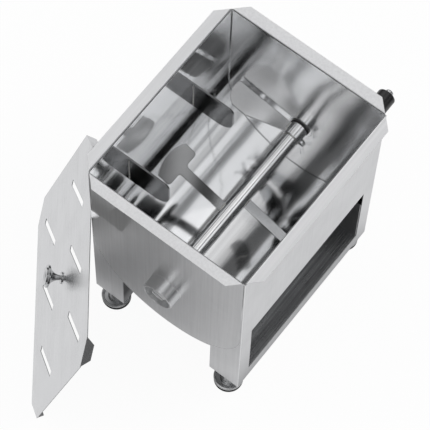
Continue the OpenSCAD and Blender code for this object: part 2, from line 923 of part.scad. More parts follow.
// Stands the flat lid on its long edge, leaning on the front left corner
module lid_place() {
    rotate([0, 0, lid_turn]) translate([-lid_foot, lid_side, 0])
        rotate([0, lid_lean - 90, 0]) translate([lid_w / 2, 0, 0]) children();
}

// Outline of the lid: the shape of the rim with its corners cut off
module lid_outline() {
    intersection() {
        square([lid_w, lid_d], center = true);
        rotate(45) square(lid_reach * sqrt(2), center = true);
    }
}

// One tab, drawn standing behind the lid's cut corner at +X and +Y
module lid_tab() {
    half = lid_cut / sqrt(2) - 1;
    slope = tab_h * tab_slope;
    rotate([0, 0, 45]) translate([lid_reach / sqrt(2) - sheet_t, 0, 0]) rotate([90, 0, 90])
        linear_extrude(sheet_t) polygon([
            [-half, eps],
            [half, eps],
            [half - slope, -tab_h],
            [-half + slope, -tab_h]
        ]);
}

// Lid sheet with slanted slots in two rows and a tab at each cut corner
module lid_plate() {
    off = (lid_d - lid_w) / 4;
    color(steel) lid_place() {
        linear_extrude(sheet_t) difference() {
            lid_outline();
            for (row = [-1, 1]) for (place = [0 : slot_count - 1]) {
                translate([row * slot_rows / 2, (place - (slot_count - 1) / 2) * slot_pitch])
                    rotate(-45) square([slot_len, slot_w], center = true);
            }
            circle(r = knob_screw_r);
        }
        for (mx = [0, 1]) for (my = [0, 1]) {
            mirror([mx, 0, 0]) mirror([0, my, 0]) translate([-off, off, 0]) lid_tab();
        }
    }
}

// Knob with a thin collar, a waisted neck and a ringed dome
module lid_knob() {
    top = knob_h - knob_dome_h;
    rim_low = top - 3.5;
    waist_r = rim_low - 2.5;
    dome_r = 20.5;
    color(bright_steel) lid_place() translate([0, 0, sheet_t]) difference() {
        rotate_extrude() {
            difference() {
                square([knob_r, rim_low]);
                translate([knob_neck_r + waist_r, knob_collar_t]) circle(r = waist_r);
                translate([knob_collar_r, -1]) square([knob_r, knob_collar_t + 1]);
            }
            square([knob_collar_r, knob_collar_t]);
            difference() {
                translate([0, rim_low - eps]) square([knob_r, 1.5 + eps]);
                translate([knob_r, rim_low + 1.5]) mirror([1, 0]) mirror([0, 1]) corner_waste(1);
            }
            translate([0, rim_low + 1.5 - eps]) square([knob_r * 0.8, 2 + eps]);
            intersection() {
                translate([0, knob_h - dome_r]) circle(r = dome_r);
                translate([0, top - 1]) square([knob_r * 0.6, knob_dome_h + 1]);
            }
        }
        translate([0, 0, -1]) cylinder(h = 9, r = knob_screw_r);
    }
}

// Screw through the lid into the knob, with a slotted head
module lid_screw() {
    head_r = 5;
    head_h = 3;
    color(bright_steel) lid_place() {
        translate([0, 0, -eps]) cylinder(h = sheet_t + 6.5, r = knob_screw_r);
        translate([0, 0, -head_h]) difference() {
            cylinder(h = head_h, r = head_r);
            translate([-0.6, -head_r - 1, -1]) cube([1.2, 2 * head_r + 2, 2]);
        }
    }
}

hopper();
front_wall();
rear_wall();
left_wall();
right_wall();
left_rail();
right_rail();
base_shelf();
baffle_front();
baffle_rear();
leg_nuts();
front_hub();
front_bush();
rear_hub();
rear_bush();
rear_seal();
paddle_shaft();
drive_end();
shaft_clip();
coupling_sleeve();
paddle_left();
paddle_right();
wiper_rear();
wiper_front();
wing_screw();
crank_spindle();
crank_spacer();
crank_arm();
crank_washer();
crank_nut();
grip_bolt();
grip_washer();
grip();
grip_cap();
lid_plate();
lid_knob();
lid_screw();
for (foot = FEET) {
    at_foot(foot) foot_sole();
    at_foot(foot) foot_cup();
    at_foot(foot) foot_stud();
    at_foot(foot) foot_nut();
}
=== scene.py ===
"""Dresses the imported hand-crank meat mixer for its studio picture.

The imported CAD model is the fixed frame: its nodes keep their shapes and places, and get
polished, brushed, plastic and rubber finishes. Weld beads, screw threads and other small
work that the solids leave out are built here and ride on the same bodies. Sizes are in
metres, in the row frame: X right along the front wall, Y to the rear, Z up.
"""

import logging
import math
from dataclasses import dataclass, field
from enum import Enum
from functools import reduce
from typing import ClassVar

import bmesh
import bpy
from mathutils import Matrix, Vector


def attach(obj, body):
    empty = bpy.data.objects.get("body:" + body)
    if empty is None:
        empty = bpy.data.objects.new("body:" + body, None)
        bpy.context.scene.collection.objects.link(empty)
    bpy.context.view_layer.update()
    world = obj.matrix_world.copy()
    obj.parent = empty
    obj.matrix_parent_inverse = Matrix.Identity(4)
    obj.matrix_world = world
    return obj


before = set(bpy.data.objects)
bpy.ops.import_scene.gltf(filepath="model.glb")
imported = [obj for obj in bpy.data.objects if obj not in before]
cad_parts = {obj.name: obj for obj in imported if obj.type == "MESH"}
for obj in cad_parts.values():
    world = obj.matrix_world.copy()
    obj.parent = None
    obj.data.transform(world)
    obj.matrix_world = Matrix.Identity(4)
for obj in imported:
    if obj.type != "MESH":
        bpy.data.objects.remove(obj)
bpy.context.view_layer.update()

LOG = logging.getLogger("mixer")
Colour = tuple[float, float, float]
Place = tuple[float, float, float]
Span = tuple[float, float]
Socket = bpy.types.NodeSocket

FULL_TURN = 2 * math.pi
RISING = (0.0, 1.0)
FALLING = (1.0, 0.0)
WHITE = (1.0, 1.0, 1.0)
UP = (0.0, 0.0, 1.0)
SHAFT_WAY = (0.0, 1.0, 0.0)

SHAFT_Z = 0.225
RIM_Z = 0.425
FOOT_X = 0.1015
FOOT_Y = 0.1375
FEET = {"fl": (-1, -1), "fr": (1, -1), "rl": (-1, 1), "rr": (1, 1)}


class Grain(Enum):
    """Which way the brushing runs on a sheet, as a stretch of the grain's pattern."""

    UPRIGHT = (1.0, 1.0, 0.018)
    ALONG_Y = (1.0, 0.018, 1.0)
    ALL_WAYS = (1.0, 1.0, 1.0)


class Effect(Enum):
    """The shared shader groups."""

    GRAIN = "brushed_grain"
    MARKS = "handling_marks"
    EDGES = "rubbed_and_highlit_edges"
    INSIDE = "inside_of_hopper"
    TURNED = "turning_marks"
    STREAKS = "drawn_streaks"


@dataclass(frozen=True)
class Clouds:
    """A noise pattern: its scale, its layers of detail and how strong the fine ones are."""

    scale: float | Socket
    detail: float = 3.0
    rough: float = 0.55


class ShaderTree:
    """A typed hand on a node tree: it adds nodes, fills their inputs and links them."""

    def __init__(self, tree: bpy.types.NodeTree) -> None:
        """Keeps the tree that every call works on."""
        self.tree = tree

    def put(self, target: Socket, value: object) -> None:
        """Links a socket to an input, or sets a plain value on it.

        Args:
            target: The input socket.
            value: An output socket, or a number, colour or vector.
        """
        if isinstance(value, Socket):
            self.tree.links.new(value, target)
        elif target.type == "RGBA" and isinstance(value, tuple) and len(value) == 3:
            target.default_value = (*value, 1.0)
        else:
            target.default_value = value

    def add(self, kind: str, inputs: dict | None = None, **settings: object) -> bpy.types.Node:
        """Adds a node.

        Args:
            kind: Blender's name for the node's type.
            inputs: Values or sockets by input name or number.
            **settings: Properties of the node itself.

        Returns:
            The new node.
        """
        node = self.tree.nodes.new(kind)
        for name, value in settings.items():
            setattr(node, name, value)
        for name, value in (inputs or {}).items():
            self.put(node.inputs[name], value)
        return node

    def math(self, operation: str, *values: object, clamp: bool = False) -> Socket:
        """Adds a Math node and returns its output."""
        inputs = dict(enumerate(values))
        return self.add("ShaderNodeMath", inputs, operation=operation, use_clamp=clamp).outputs[0]

    def product(self, *values: object) -> Socket:
        """Multiplies values, one after the other."""
        return reduce(lambda first, second: self.math("MULTIPLY", first, second), values)

    def weigh(self, first: object, second: object, share: float) -> Socket:
        """Adds the first value's share to the rest of the second."""
        return self.math("ADD", self.product(first, share), self.product(second, 1.0 - share))

    def vector(self, operation: str, *values: object) -> bpy.types.Node:
        """Adds a Vector Math node and returns it."""
        return self.add("ShaderNodeVectorMath", dict(enumerate(values)), operation=operation)

    def spread(self, value: object, span: Span, to: Span = RISING) -> Socket:
        """Maps a value from one span to another, held inside it."""
        inputs = {0: value, 1: span[0], 2: span[1], 3: to[0], 4: to[1]}
        return self.add("ShaderNodeMapRange", inputs, clamp=True).outputs[0]

    def blend(self, factor: object, first: object, second: object) -> Socket:
        """Mixes two colours, through the Mix node's colour inputs 6 and 7 to its output 2."""
        inputs = {0: factor, 6: first, 7: second}
        return self.add("ShaderNodeMix", inputs, data_type="RGBA").outputs[2]

    def noise(self, place: object, clouds: Clouds) -> Socket:
        """Adds a noise texture and returns its value, about 0.5 on average."""
        inputs = {"Vector": place, "Scale": clouds.scale, "Detail": clouds.detail,
                  "Roughness": clouds.rough}
        return self.add("ShaderNodeTexNoise", inputs).outputs["Fac"]

    def relief(self, height: object, normal: object) -> Socket:
        """Raises a surface by a height in metres and returns its new normal."""
        inputs = {"Strength": 1.0, "Distance": 1.0, "Height": height, "Normal": normal}
        return self.add("ShaderNodeBump", inputs).outputs[0]


class EffectShop:
    """Builds each shared shader group once and places it in the materials."""

    FINE_GRAIN = Clouds(1150.0, 3.0, 0.6)
    BROAD_GRAIN = Clouds(300.0, 3.0, 0.6)
    FINE_SHARE = 0.6
    BAND_SPAN = (0.3, 0.7)

    MARK_DETAIL = 4.0
    MARK_ROUGH = 0.5
    MARK_SPAN = (0.42, 0.68)
    SLOW_WAVES = Clouds(9.0, 0.0)

    BEVEL_SAMPLES = 6
    EDGE_TURN = (0.72, 0.995)
    EDGE_BREAKS = Clouds(160.0, 3.0)
    BREAK_SPAN = (0.35, 0.6)
    BREAK_MASK = (0.75, 1.0)

    # The inside ends within the thickness of the sheets; the skins stand round it.
    INSIDE_RADIUS = 0.1256
    INSIDE_DEPTH = 0.1504
    INSIDE_TOP = 0.4222
    SKIN_WIDTH = 0.1338
    SKIN_DEPTH = 0.1495
    # The painted shade under the hopper fades in over these heights.
    SKIN_FOOT = (0.05, 0.07)

    LATHE_RINGS = Clouds(900.0, 2.0)

    DRAWN_ALONG_Y = (1.0, 0.012, 1.0)
    BROAD_STREAKS = Clouds(30.0, 1.0)
    NARROW_STREAKS = Clouds(130.0, 2.0)
    BROAD_SHARE = 0.85

    def __init__(self) -> None:
        """Builds all the groups."""
        self.groups: dict[Effect, bpy.types.NodeTree] = {}
        self.build_grain()
        self.build_marks()
        self.build_edges()
        self.build_inside()
        self.build_turned()
        self.build_streaks()

    def start(self, effect: Effect, inputs: dict[str, str], outputs: dict[str, str]
              ) -> tuple[ShaderTree, dict[str, Socket], dict[str, Socket]]:
        """Starts a group with its sockets.

        Args:
            effect: The group's name.
            inputs: Socket types by input name.
            outputs: Socket types by output name.

        Returns:
            The tree, the sockets that bring its inputs, and those that take its outputs.
        """
        group = bpy.data.node_groups.new(effect.value, "ShaderNodeTree")
        for side, sockets in (("INPUT", inputs), ("OUTPUT", outputs)):
            for name, kind in sockets.items():
                group.interface.new_socket(name, in_out=side, socket_type="NodeSocket" + kind)
        tree = ShaderTree(group)
        self.groups[effect] = group
        return tree, tree.add("NodeGroupInput").outputs, tree.add("NodeGroupOutput").inputs

    def place(self, tree: ShaderTree, effect: Effect, **inputs: object) -> dict[str, Socket]:
        """Places a group in a material.

        Args:
            tree: The material's tree.
            effect: The group.
            **inputs: Values or sockets by input name.

        Returns:
            The group's outputs by name.
        """
        node = tree.add("ShaderNodeGroup", node_tree=self.groups[effect])
        for name, value in inputs.items():
            tree.put(node.inputs[name], value)
        return node.outputs

    def build_grain(self) -> None:
        """Brushing: fine lines and broader bands, stretched along one way of the sheet."""
        tree, start, end = self.start(
            Effect.GRAIN, {"Place": "Vector", "Stretch": "Vector"},
            {"Lines": "Float", "Bands": "Float"})
        drawn = tree.vector("MULTIPLY", start["Place"], start["Stretch"]).outputs[0]
        fine = tree.noise(drawn, self.FINE_GRAIN)
        broad = tree.noise(drawn, self.BROAD_GRAIN)
        tree.put(end["Lines"], tree.weigh(fine, broad, self.FINE_SHARE))
        tree.put(end["Bands"], tree.spread(broad, self.BAND_SPAN))

    def build_marks(self) -> None:
        """Handling: soft clouds that dull the metal in places, and slow waves in the sheet."""
        tree, start, end = self.start(
            Effect.MARKS, {"Place": "Vector", "Size": "Float"}, {"Dull": "Float", "Wave": "Float"})
        clouds = Clouds(start["Size"], self.MARK_DETAIL, self.MARK_ROUGH)
        tree.put(end["Dull"], tree.spread(tree.noise(start["Place"], clouds), self.MARK_SPAN))
        tree.put(end["Wave"], tree.noise(start["Place"], self.SLOW_WAVES))

    def build_edges(self) -> None:
        """Edges brightened by handling wear and by painted highlight, with their normals rounded
        over.
        """
        tree, start, end = self.start(
            Effect.EDGES, {"Place": "Vector", "Radius": "Float"},
            {"Mask": "Float", "Rounded": "Vector"})
        rounded = tree.add(
            "ShaderNodeBevel", {"Radius": start["Radius"]}, samples=self.BEVEL_SAMPLES).outputs[0]
        plain = tree.add("ShaderNodeNewGeometry").outputs["True Normal"]
        turn = tree.vector("DOT_PRODUCT", rounded, plain).outputs["Value"]
        breaks = tree.noise(start["Place"], self.EDGE_BREAKS)
        tree.put(end["Mask"], tree.product(
            tree.spread(turn, self.EDGE_TURN, FALLING),
            tree.spread(breaks, self.BREAK_SPAN, self.BREAK_MASK)))
        tree.put(end["Rounded"], rounded)

    def build_inside(self) -> None:
        """Masks of the hopper's inside, and of the faces between it and the skins, which get painted
        shade.
        """
        tree, start, end = self.start(
            Effect.INSIDE, {"Place": "Vector"}, {"Mask": "Float", "Painted_shade": "Float"})
        axes = tree.add("ShaderNodeSeparateXYZ", {0: start["Place"]}).outputs
        below = tree.math("MINIMUM", tree.math("SUBTRACT", axes["Z"], SHAFT_Z), 0.0)
        flat = tree.add("ShaderNodeCombineXYZ", {"X": axes["X"], "Z": below}).outputs[0]
        reach = tree.vector("LENGTH", flat).outputs["Value"]
        across = tree.math("ABSOLUTE", axes["X"])
        along = tree.math("ABSOLUTE", axes["Y"])
        under = tree.math("LESS_THAN", axes["Z"], self.INSIDE_TOP)
        inside = tree.product(
            tree.math("LESS_THAN", reach, self.INSIDE_RADIUS),
            tree.math("LESS_THAN", along, self.INSIDE_DEPTH), under)
        shade_box = tree.product(
            tree.math("LESS_THAN", across, self.SKIN_WIDTH),
            tree.math("LESS_THAN", along, self.SKIN_DEPTH), under,
            tree.spread(axes["Z"], self.SKIN_FOOT))
        tree.put(end["Mask"], inside)
        tree.put(end["Painted_shade"], tree.math("SUBTRACT", shade_box, inside, clamp=True))

    def build_turned(self) -> None:
        """Lathe marks: fine rings by radius and by place along the axis."""
        tree, start, end = self.start(
            Effect.TURNED, {"Place": "Vector", "Axis": "Vector"}, {"Lines": "Float"})
        along = tree.vector("DOT_PRODUCT", start["Place"], start["Axis"]).outputs["Value"]
        across = tree.vector("CROSS_PRODUCT", start["Place"], start["Axis"]).outputs[0]
        radius = tree.vector("LENGTH", across).outputs["Value"]
        rings = tree.add("ShaderNodeCombineXYZ", {"X": radius, "Y": along}).outputs[0]
        tree.put(end["Lines"], tree.noise(rings, self.LATHE_RINGS))

    def build_streaks(self) -> None:
        """Long shallow ripples that rolling leaves along the hopper sheet."""
        tree, start, end = self.start(Effect.STREAKS, {"Place": "Vector"}, {"Height": "Float"})
        drawn = tree.vector("MULTIPLY", start["Place"], self.DRAWN_ALONG_Y).outputs[0]
        broad = tree.noise(drawn, self.BROAD_STREAKS)
        narrow = tree.noise(drawn, self.NARROW_STREAKS)
        tree.put(end["Height"], tree.weigh(broad, narrow, self.BROAD_SHARE))


@dataclass(frozen=True)
class Finish:
    """What every finish has: its name and the colour that it renders as."""

    name: str
    colour: Colour

    def begin(self) -> tuple[bpy.types.Material, ShaderTree, bpy.types.Node, Socket]:
        """Makes the material.

        Returns:
            The material, its tree, its Principled shader and the place on the object.
        """
        material = bpy.data.materials.new(self.name)
        material.use_nodes = True
        material.diffuse_color = (*self.colour, 1.0)
        tree = ShaderTree(material.node_tree)
        shader = material.node_tree.nodes["Principled BSDF"]
        place = tree.add("ShaderNodeTexCoord").outputs["Object"]
        return material, tree, shader, place


@dataclass
class SteelSurface:
    """What a steel finish works from at each point: its place, its zone and its marks."""

    tree: ShaderTree
    place: Socket
    base: Socket | Colour
    inside: Socket | float
    outside: Socket
    lines: Socket
    bands: Socket
    marks: dict[str, Socket]
    edges: dict[str, Socket]


@dataclass(frozen=True)
class SteelFinish(Finish):
    """Stainless steel, from brushed sheet to a near mirror.

    A finish with polished_inside is polished to that roughness inside the hopper. One with
    a centre has lathe marks round it in place of brushed grain.
    """

    roughness: float = 0.3
    least_rough: float = 0.02
    grain: Grain = Grain.ALL_WAYS
    grain_tone: float = 0.1
    grain_gloss: float = 0.12
    grain_depth: float = 0.000004
    grain_turn: float = 0.0
    dulling: float = 0.08
    dull_tone: float = 0.04
    mark_size: float = 22.0
    wave: float = 0.0
    wave_gloss: float = 0.04
    streaks: float = 0.0
    edge_radius: float = 0.0006
    # How much brighter the edges are drawn, as wear and as painted highlight.
    edge_highlight_tone: float = 1.25
    polished_inside: float | None = None
    inside_colour: Colour = (0.9, 0.905, 0.91)
    # Painted shade: the dark colour given to the faces between the hopper and the skins.
    painted_shade_colour: Colour = (0.3, 0.305, 0.31)
    centre: Place | None = None
    axis: Place = SHAFT_WAY

    def make(self, shop: EffectShop) -> bpy.types.Material:
        """Builds the material from the shared groups.

        Args:
            shop: The shared shader groups.

        Returns:
            The finished material.
        """
        material, tree, shader, place = self.begin()
        steel = self.survey(tree, shop, place)
        tree.put(shader.inputs["Base Color"], self.tint(steel))
        tree.put(shader.inputs["Roughness"], self.gloss(steel))
        shader.inputs["Metallic"].default_value = 1.0
        height = self.height(steel, shop)
        tree.put(shader.inputs["Normal"], tree.relief(height, steel.edges["Rounded"]))
        return material

    def survey(self, tree: ShaderTree, shop: EffectShop, place: Socket) -> SteelSurface:
        """Places the shared groups in the material.

        Args:
            tree: The material's tree.
            shop: The shared shader groups.
            place: The place on the object.

        Returns:
            What the colour, roughness and height work from.
        """
        inside: Socket | float = 0.0
        base: Socket | Colour = self.colour
        if self.polished_inside is not None:
            zones = shop.place(tree, Effect.INSIDE, Place=place)
            inside = zones["Mask"]
            base = tree.blend(inside, self.colour, self.inside_colour)
            # Painted shade: the faces between the hopper and the skins take the dark colour.
            base = tree.blend(zones["Painted_shade"], base, self.painted_shade_colour)
        lines, bands = (self.turn if self.centre else self.brush)(tree, shop, place)
        return SteelSurface(
            tree, place, base, inside, tree.math("SUBTRACT", 1.0, inside), lines, bands,
            marks=shop.place(tree, Effect.MARKS, Place=place, Size=self.mark_size),
            edges=shop.place(tree, Effect.EDGES, Place=place, Radius=self.edge_radius))

    def tint(self, steel: SteelSurface) -> Socket:
        """The colour: the grain's tones, dulled in places outside, with edges brightened as wear and
        as painted highlight.

        Args:
            steel: What the finish works from.

        Returns:
            The colour.
        """
        tree = steel.tree
        bands = tree.math("SUBTRACT", steel.bands, 0.5)
        grain = tree.product(bands, 2.0 * self.grain_tone, steel.outside)
        dull = tree.product(steel.marks["Dull"], steel.outside, self.dull_tone)
        level = tree.math("SUBTRACT", tree.math("ADD", 1.0, grain), dull)
        shaded = tree.vector("SCALE", steel.base)
        tree.put(shaded.inputs["Scale"], level)
        # Painted highlight along with wear: the edges take a brighter copy of the colour.
        worn_and_highlit_edge = tuple(min(1.0, part * self.edge_highlight_tone) for part in self.colour)
        return tree.blend(steel.edges["Mask"], shaded.outputs[0], worn_and_highlit_edge)

    def gloss(self, steel: SteelSurface) -> Socket:
        """The roughness: the sheet's own, and the polish inside the hopper.

        Args:
            steel: What the finish works from.

        Returns:
            The roughness.
        """
        tree = steel.tree
        dull = tree.product(steel.marks["Dull"], self.dulling)
        grain = tree.product(tree.math("SUBTRACT", steel.lines, 0.5), self.grain_gloss)
        rough = tree.math("ADD", tree.math("ADD", self.roughness, dull), grain)
        if self.polished_inside is not None:
            waves = tree.product(steel.marks["Wave"], self.wave_gloss)
            sheen = tree.math("ADD", self.polished_inside, waves)
            rough = tree.add("ShaderNodeMix", {0: steel.inside, 2: rough, 3: sheen}).outputs[0]
        return tree.math("MAXIMUM", rough, self.least_rough)

    def height(self, steel: SteelSurface, shop: EffectShop) -> Socket:
        """The relief in metres: the grain outside, the slow waves and the drawn streaks.

        Args:
            steel: What the finish works from.
            shop: The shared shader groups.

        Returns:
            The height.
        """
        tree = steel.tree
        height = tree.product(steel.outside, self.grain_depth, steel.lines)
        if self.wave > 0.0:
            where = 1.0 if self.polished_inside is None else steel.inside
            height = tree.math("ADD", height, tree.product(where, self.wave, steel.marks["Wave"]))
        if self.streaks > 0.0:
            ripples = shop.place(tree, Effect.STREAKS, Place=steel.place)["Height"]
            height = tree.math("ADD", height, tree.product(steel.inside, self.streaks, ripples))
        return height

    def brush(self, tree: ShaderTree, shop: EffectShop, place: Socket) -> tuple[Socket, Socket]:
        """Places the brushed grain, turned about the upright where the sheet stands askew.

        Args:
            tree: The material's tree.
            shop: The shared shader groups.
            place: The place on the object.

        Returns:
            The grain's lines and its bands.
        """
        if self.grain_turn:
            turn = (0.0, 0.0, math.radians(-self.grain_turn))
            place = tree.add("ShaderNodeMapping", {"Vector": place, "Rotation": turn}).outputs[0]
        grain = shop.place(tree, Effect.GRAIN, Place=place, Stretch=self.grain.value)
        return grain["Lines"], grain["Bands"]

    def turn(self, tree: ShaderTree, shop: EffectShop, place: Socket) -> tuple[Socket, Socket]:
        """Places lathe marks round the centre, or round four like it for an upright axis.

        Args:
            tree: The material's tree.
            shop: The shared shader groups.
            place: The place on the object.

        Returns:
            The marks, as both lines and bands.
        """
        folded = tree.vector("ABSOLUTE", place).outputs[0] if self.axis == UP else place
        near = tree.vector("SUBTRACT", folded, self.centre).outputs[0]
        lines = shop.place(tree, Effect.TURNED, Place=near, Axis=self.axis)["Lines"]
        return lines, lines


@dataclass(frozen=True)
class PlasticFinish(Finish):
    """Moulded plastic or rubber, with a fine texture and handling marks."""

    roughness: float = 0.4
    dulling: float = 0.12
    mark_size: float = 45.0
    texture: float = 0.00003
    pores: Clouds = Clouds(1400.0, 2.0)
    dust: Colour = (0.4, 0.4, 0.4)
    dust_amount: float = 0.06
    edge_radius: float = 0.0008
    edge_dust: float = 0.25

    def make(self, shop: EffectShop) -> bpy.types.Material:
        """Builds the material from the shared groups.

        Args:
            shop: The shared shader groups.

        Returns:
            The finished material.
        """
        material, tree, shader, place = self.begin()
        dull = shop.place(tree, Effect.MARKS, Place=place, Size=self.mark_size)["Dull"]
        edges = shop.place(tree, Effect.EDGES, Place=place, Radius=self.edge_radius)
        dusty = tree.blend(tree.product(dull, self.dust_amount), self.colour, self.dust)
        worn = tuple((1.0 - self.edge_dust) * part + self.edge_dust * grey
                     for part, grey in zip(self.colour, self.dust))
        tree.put(shader.inputs["Base Color"], tree.blend(edges["Mask"], dusty, worn))
        rough = tree.math("ADD", self.roughness, tree.product(dull, self.dulling))
        tree.put(shader.inputs["Roughness"], rough)
        skin = tree.product(tree.noise(place, self.pores), self.texture)
        tree.put(shader.inputs["Normal"], tree.relief(skin, edges["Rounded"]))
        return material


@dataclass
class Finishes:
    """Every finish of the mixer, by the part of it that wears the finish."""

    shop: EffectShop
    made: dict[str, bpy.types.Material] = field(default_factory=dict)

    SHEET = SteelFinish(
        "wall_sheet", (0.95, 0.955, 0.96), grain=Grain.UPRIGHT, grain_tone=0.05,
        polished_inside=0.18, wave=0.006, dulling=0.03)
    SIDE = SteelFinish(
        "side_sheet", (0.61, 0.615, 0.62), grain=Grain.UPRIGHT, grain_tone=0.04, dulling=0.03)
    # Painted shade: the shelf is coloured darker than the other sheets to stand in for the shade and
    # dark reflections under the hopper.
    SHELF = SteelFinish(
        "shelf_sheet", (0.48, 0.483, 0.488), roughness=0.26, grain=Grain.ALONG_Y,
        grain_tone=0.35, dulling=0.04)
    TROUGH = SteelFinish(
        "hopper_sheet", (0.93, 0.935, 0.94), grain=Grain.ALONG_Y, grain_tone=0.04,
        polished_inside=0.07, wave=0.0005, streaks=0.0005, dulling=0.03)
    LID = SteelFinish(
        "lid_sheet", (0.64, 0.645, 0.65), roughness=0.25, grain=Grain.ALONG_Y,
        grain_turn=37.4, grain_tone=0.05, dulling=0.02)
    MIRROR = SteelFinish(
        "polished_steel", (0.68, 0.685, 0.69), roughness=0.1, grain_tone=0.02,
        grain_depth=0.0, dulling=0.05)
    # Painted reflection: the baffles are coloured near black to stand in for the dark surroundings
    # that they mirror, with a strong painted highlight on their edges.
    BAFFLE = SteelFinish(
        "baffle_plate", (0.2, 0.202, 0.206), roughness=0.2, grain_tone=0.02, grain_depth=0.0,
        dulling=0.05, edge_radius=0.0012, edge_highlight_tone=4.4)
    SHAFT = SteelFinish(
        "drawn_tube", (0.95, 0.955, 0.96), roughness=0.17, grain=Grain.ALONG_Y,
        grain_tone=0.03, grain_depth=0.000003, dulling=0.04)
    PADDLE = SteelFinish(
        "paddle_plate", (0.42, 0.425, 0.43), roughness=0.15, grain_tone=0.03,
        grain_depth=0.0, wave=0.02, edge_radius=0.0014, edge_highlight_tone=2.2)
    WIPER = SteelFinish(
        "wiper_plate", (0.56, 0.565, 0.57), roughness=0.12, grain_tone=0.03,
        grain_depth=0.0, wave=0.02, edge_radius=0.0016, edge_highlight_tone=1.75)
    WING = SteelFinish(
        "cast_wing", (0.9, 0.905, 0.91), roughness=0.16, grain_tone=0.03,
        grain_depth=0.000002, edge_radius=0.0003)
    # Painted reflection: the polished knob is coloured dark to stand in for the dark surroundings
    # that it mirrors, with a painted highlight on its edges.
    KNOB = SteelFinish(
        "polished_knob", (0.5, 0.505, 0.51), roughness=0.03, grain_tone=0.02,
        grain_depth=0.0, dulling=0.04, mark_size=60.0, edge_highlight_tone=1.8)
    TURNED = SteelFinish(
        "turned_hub", (0.95, 0.955, 0.96), roughness=0.34, grain_tone=0.05,
        grain_depth=0.000003, edge_radius=0.0016, centre=(0.0, 0.0, SHAFT_Z))
    DRIVE = SteelFinish(
        "drive_face", (0.97, 0.972, 0.975), roughness=0.5, grain_tone=0.05,
        grain_depth=0.000003, centre=(0.0, 0.0, SHAFT_Z))
    CUP = SteelFinish(
        "pressed_cup", (0.82, 0.825, 0.83), roughness=0.17, grain_tone=0.05,
        grain_depth=0.000003, centre=(FOOT_X, FOOT_Y, 0.0), axis=UP)
    BOLT = SteelFinish(
        "bright_fastener", (0.66, 0.665, 0.67), roughness=0.2, grain_tone=0.05,
        grain_depth=0.000002, mark_size=90.0)
    WELD = SteelFinish(
        "weld_bead", (0.62, 0.61, 0.59), roughness=0.26, grain_tone=0.08, dulling=0.16,
        mark_size=260.0, edge_radius=0.0002)
    BUSH = PlasticFinish("bush_polymer", (0.88, 0.88, 0.85), roughness=0.45)
    GRIP = PlasticFinish(
        "grip_plastic", (0.012, 0.012, 0.013), roughness=0.26, texture=0.000012,
        dust=(0.1, 0.1, 0.1))
    RUBBER = PlasticFinish(
        "black_rubber", (0.02, 0.02, 0.021), roughness=0.7, texture=0.00006,
        dust=(0.22, 0.21, 0.2), dust_amount=0.2)

    def of(self, finish: Finish) -> bpy.types.Material:
        """Gives the material of a finish, built at its first use.

        Args:
            finish: The finish.

        Returns:
            Its material.
        """
        if finish.name not in self.made:
            self.made[finish.name] = finish.make(self.shop)
        return self.made[finish.name]

    def dress(self, finish: Finish, *nodes: str) -> None:
        """Gives CAD nodes a finish.

        Args:
            finish: What they wear.
            *nodes: The names of the nodes.
        """
        for name in nodes:
            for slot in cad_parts[name].material_slots:
                slot.material = self.of(finish)
            LOG.info("%s wears %s", name, finish.name)


